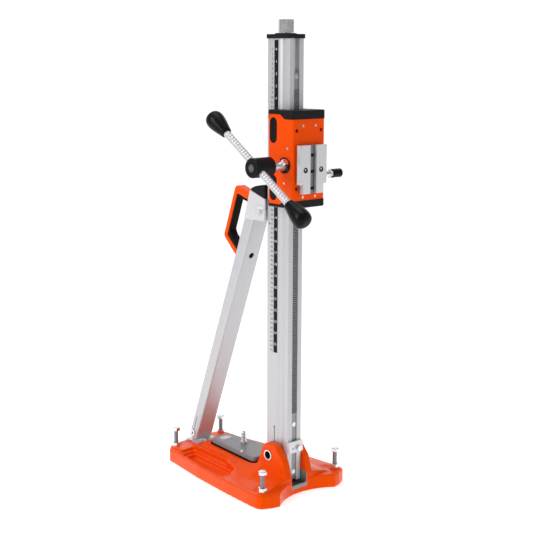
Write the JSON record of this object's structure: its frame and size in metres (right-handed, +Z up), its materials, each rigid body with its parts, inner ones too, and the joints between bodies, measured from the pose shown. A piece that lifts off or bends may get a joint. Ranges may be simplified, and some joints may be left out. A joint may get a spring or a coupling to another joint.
{
  "type": "core drill rig",
  "caption": "Drill stand: cast base with levelling screws, tilting toothed column with rear strut, crank-fed carriage and a quick mount for a drill motor.",
  "frame": {"origin": "on the floor plane under the column's centre line, on the underside of the base", "axes": "+Z up the column, -Y towards the motor mount, +Y towards the strut, +X across"},
  "size_m": [0.2718, 0.5187, 1.03],
  "materials": {
    "gloss_orange_paint": "gloss orange paint",
    "bright_steel": "bright steel",
    "black_plastic": "black plastic",
    "natural_anodised": "natural anodised",
    "bright_zinc": "bright zinc",
    "soft_black_rubber": "soft black rubber",
    "mid_grey_enamel": "mid grey enamel"
  },
  "bodies": {
    "base": {"base_casting": "gloss_orange_paint", "floor_seal": "soft_black_rubber", "cover_gasket": "soft_black_rubber", "cover_plate": "mid_grey_enamel", "hose_nipple": "bright_zinc", "cover_screws": "bright_zinc", "lock_nuts": "bright_zinc", "pivot_bushes": "bright_zinc", "tilt_pivot_pin": "bright_steel", "strut_foot_bracket": "natural_anodised", "foot_bracket_screw": "bright_zinc", "strut_foot_pin": "bright_zinc"},
    "level_fl": {"levelling_screw_fl": "bright_zinc"},
    "level_rl": {"levelling_screw_rl": "bright_zinc"},
    "level_fr": {"levelling_screw_fr": "bright_zinc"},
    "level_rr": {"levelling_screw_rr": "bright_zinc"},
    "column": {"column_profile": "natural_anodised", "scale_strip": "black_plastic", "column_foot_block": "bright_steel", "gear_rack": "bright_steel", "rack_screws": "bright_zinc", "bottom_stop_plate": "bright_steel", "stop_screw": "bright_zinc", "column_top_cap": "black_plastic", "jack_nut_block": "bright_steel"},
    "jack": {"jack_spindle": "bright_zinc"},
    "carriage": {"carriage_housing": "gloss_orange_paint", "carriage_frame": "natural_anodised", "carriage_top_cap": "black_plastic", "carriage_bottom_cap": "black_plastic", "guide_shoes": "black_plastic", "roller_pins": "bright_zinc", "shaft_bushes": "black_plastic", "housing_screws": "bright_zinc", "mount_spacer": "natural_anodised", "mount_plate_l": "natural_anodised", "mount_plate_r": "natural_anodised", "mount_centre_bar": "black_plastic", "mount_screws": "bright_zinc", "plunger_sleeve": "bright_zinc"},
    "roller_ll": {"guide_roller_lower_l": "black_plastic"},
    "roller_ul": {"guide_roller_upper_l": "black_plastic"},
    "roller_lr": {"guide_roller_lower_r": "black_plastic"},
    "roller_ur": {"guide_roller_upper_r": "black_plastic"},
    "crank": {"pinion": "bright_steel", "pinion_shaft": "bright_steel", "shaft_collar": "bright_steel", "collar_bolt": "bright_zinc", "crank_hub": "black_plastic", "crank_rod": "bright_steel", "crank_grip_upper": "black_plastic", "crank_grip_lower": "black_plastic"},
    "plunger": {"plunger_knob": "black_plastic"},
    "strut": {"strut_tube": "natural_anodised", "head_cheeks": "natural_anodised", "head_bolt": "bright_zinc", "head_cap": "black_plastic", "carry_handle": "gloss_orange_paint", "handle_grip": "soft_black_rubber"},
    "strut_slider": {"strut_slider": "bright_steel"}
  },
  "joints": [
    {"name": "column_tilt", "type": "hinge", "parent": "base", "child": "column", "pos_m": [0, 0.0086, 0.0825], "axis": [-1, 0, 0], "range_deg": [0, 45]},
    {"name": "strut_swing", "type": "hinge", "parent": "base", "child": "strut", "pos_m": [0, 0.2945, 0.0585], "axis": [-1, 0, 0], "range_deg": [0, 52.5]},
    {"name": "slider_travel", "type": "slide", "parent": "column", "child": "strut_slider", "axis": [0, 0, 1], "range_m": [0, 0.24]},
    {"name": "carriage_feed", "type": "slide", "parent": "column", "child": "carriage", "axis": [0, 0, 1], "range_m": [-0.46, 0.13]},
    {"name": "crank_turn", "type": "hinge", "parent": "carriage", "child": "crank", "pos_m": [0, -0.046, 0.731], "axis": [1, 0, 0], "range_deg": [-630, 2205]},
    {"name": "plunger_pull", "type": "slide", "parent": "carriage", "child": "plunger", "axis": [1, 0, 0], "range_m": [0, 0.008], "stiffness_N_per_m": 800, "springref_m": -0.006},
    {"name": "jack_extend", "type": "slide", "parent": "column", "child": "jack", "axis": [0, 0, 1], "range_m": [0, 0.06]},
    {"name": "level_fl_travel", "type": "slide", "parent": "base", "child": "level_fl", "axis": [0, 0, 1], "range_m": [-0.025, 0.006]},
    {"name": "level_rl_travel", "type": "slide", "parent": "base", "child": "level_rl", "axis": [0, 0, 1], "range_m": [-0.025, 0.006]},
    {"name": "level_fr_travel", "type": "slide", "parent": "base", "child": "level_fr", "axis": [0, 0, 1], "range_m": [-0.025, 0.006]},
    {"name": "level_rr_travel", "type": "slide", "parent": "base", "child": "level_rr", "axis": [0, 0, 1], "range_m": [-0.025, 0.006]},
    {"name": "roller_ll_spin", "type": "hinge", "parent": "carriage", "child": "roller_ll", "pos_m": [-0.03035, -0.01145, 0.682], "axis": [0, 1, 0], "range_deg": [-2205, 2205]},
    {"name": "roller_ul_spin", "type": "hinge", "parent": "carriage", "child": "roller_ul", "pos_m": [-0.03035, -0.01145, 0.8025], "axis": [0, 1, 0], "range_deg": [-2205, 2205]},
    {"name": "roller_lr_spin", "type": "hinge", "parent": "carriage", "child": "roller_lr", "pos_m": [0.03035, -0.01145, 0.682], "axis": [0, 1, 0], "range_deg": [-2205, 2205]},
    {"name": "roller_ur_spin", "type": "hinge", "parent": "carriage", "child": "roller_ur", "pos_m": [0.03035, -0.01145, 0.8025], "axis": [0, 1, 0], "range_deg": [-2205, 2205]}
  ],
  "couplings": [
    {"joint": "strut_swing", "follows": "column_tilt", "ratio": 1.147},
    {"joint": "slider_travel", "follows": "column_tilt", "m_per_rad": 0.2969},
    {"joint": "crank_turn", "follows": "carriage_feed", "rad_per_m": -83.333},
    {"joint": "roller_ll_spin", "follows": "carriage_feed", "rad_per_m": 83.333},
    {"joint": "roller_ul_spin", "follows": "carriage_feed", "rad_per_m": 83.333},
    {"joint": "roller_lr_spin", "follows": "carriage_feed", "rad_per_m": -83.333},
    {"joint": "roller_ur_spin", "follows": "carriage_feed", "rad_per_m": -83.333}
  ]
}
